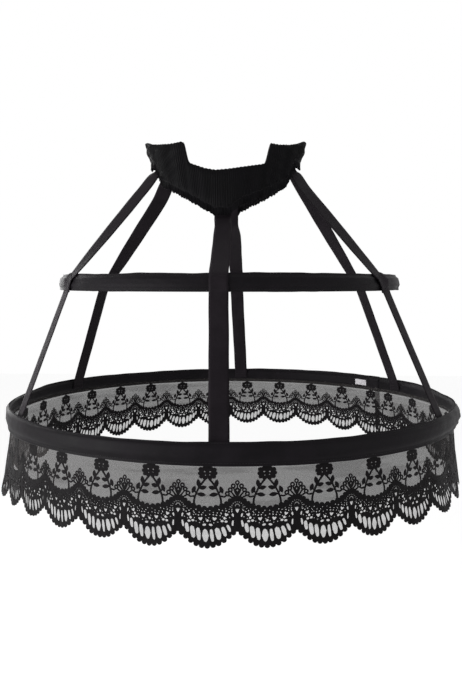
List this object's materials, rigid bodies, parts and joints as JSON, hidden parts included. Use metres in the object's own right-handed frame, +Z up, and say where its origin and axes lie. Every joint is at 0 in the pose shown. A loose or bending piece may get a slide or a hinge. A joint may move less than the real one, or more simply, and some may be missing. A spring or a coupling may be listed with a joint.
{
  "type": "crinoline cage",
  "caption": "Open cage petticoat with a gathered elastic waistband, tape straps, boned hoops in fabric casings and scalloped net lace round the lower hoop.",
  "frame": {"origin": "centre of the waist opening, level with the middle of the waistband at the sides", "axes": "+Z up out of the waist opening, the wearer's front faces -Y, +X to the right when seen from the front"},
  "size_m": [0.6803, 0.6802, 0.505],
  "materials": {
    "gathered_fabric": "fine vertical gathers, matte",
    "elastic": "flat woven elastic",
    "strap_tape": "plain tape with a slight sheen",
    "casing_fabric": "smooth satin with a soft sheen",
    "bone": "covered flat bone",
    "sleeve": "pressed sheet sleeve",
    "lace": "embroidered net",
    "label": "bare satin"
  },
  "bodies": {
    "root": {"waistband_cover": "gathered_fabric", "waist_elastic": "elastic", "front_strap": "strap_tape", "front_left_strap": "strap_tape", "front_right_strap": "strap_tape", "back_left_strap": "strap_tape", "back_right_strap": "strap_tape", "back_strap": "strap_tape", "middle_hoop_casing": "casing_fabric", "lower_hoop_casing": "casing_fabric", "middle_hoop_bone": "bone", "lower_hoop_bone": "bone", "middle_bone_sleeve": "sleeve", "lower_bone_sleeve": "sleeve", "lace_trim": "lace", "care_label": "label"}
  },
  "joints": []
}
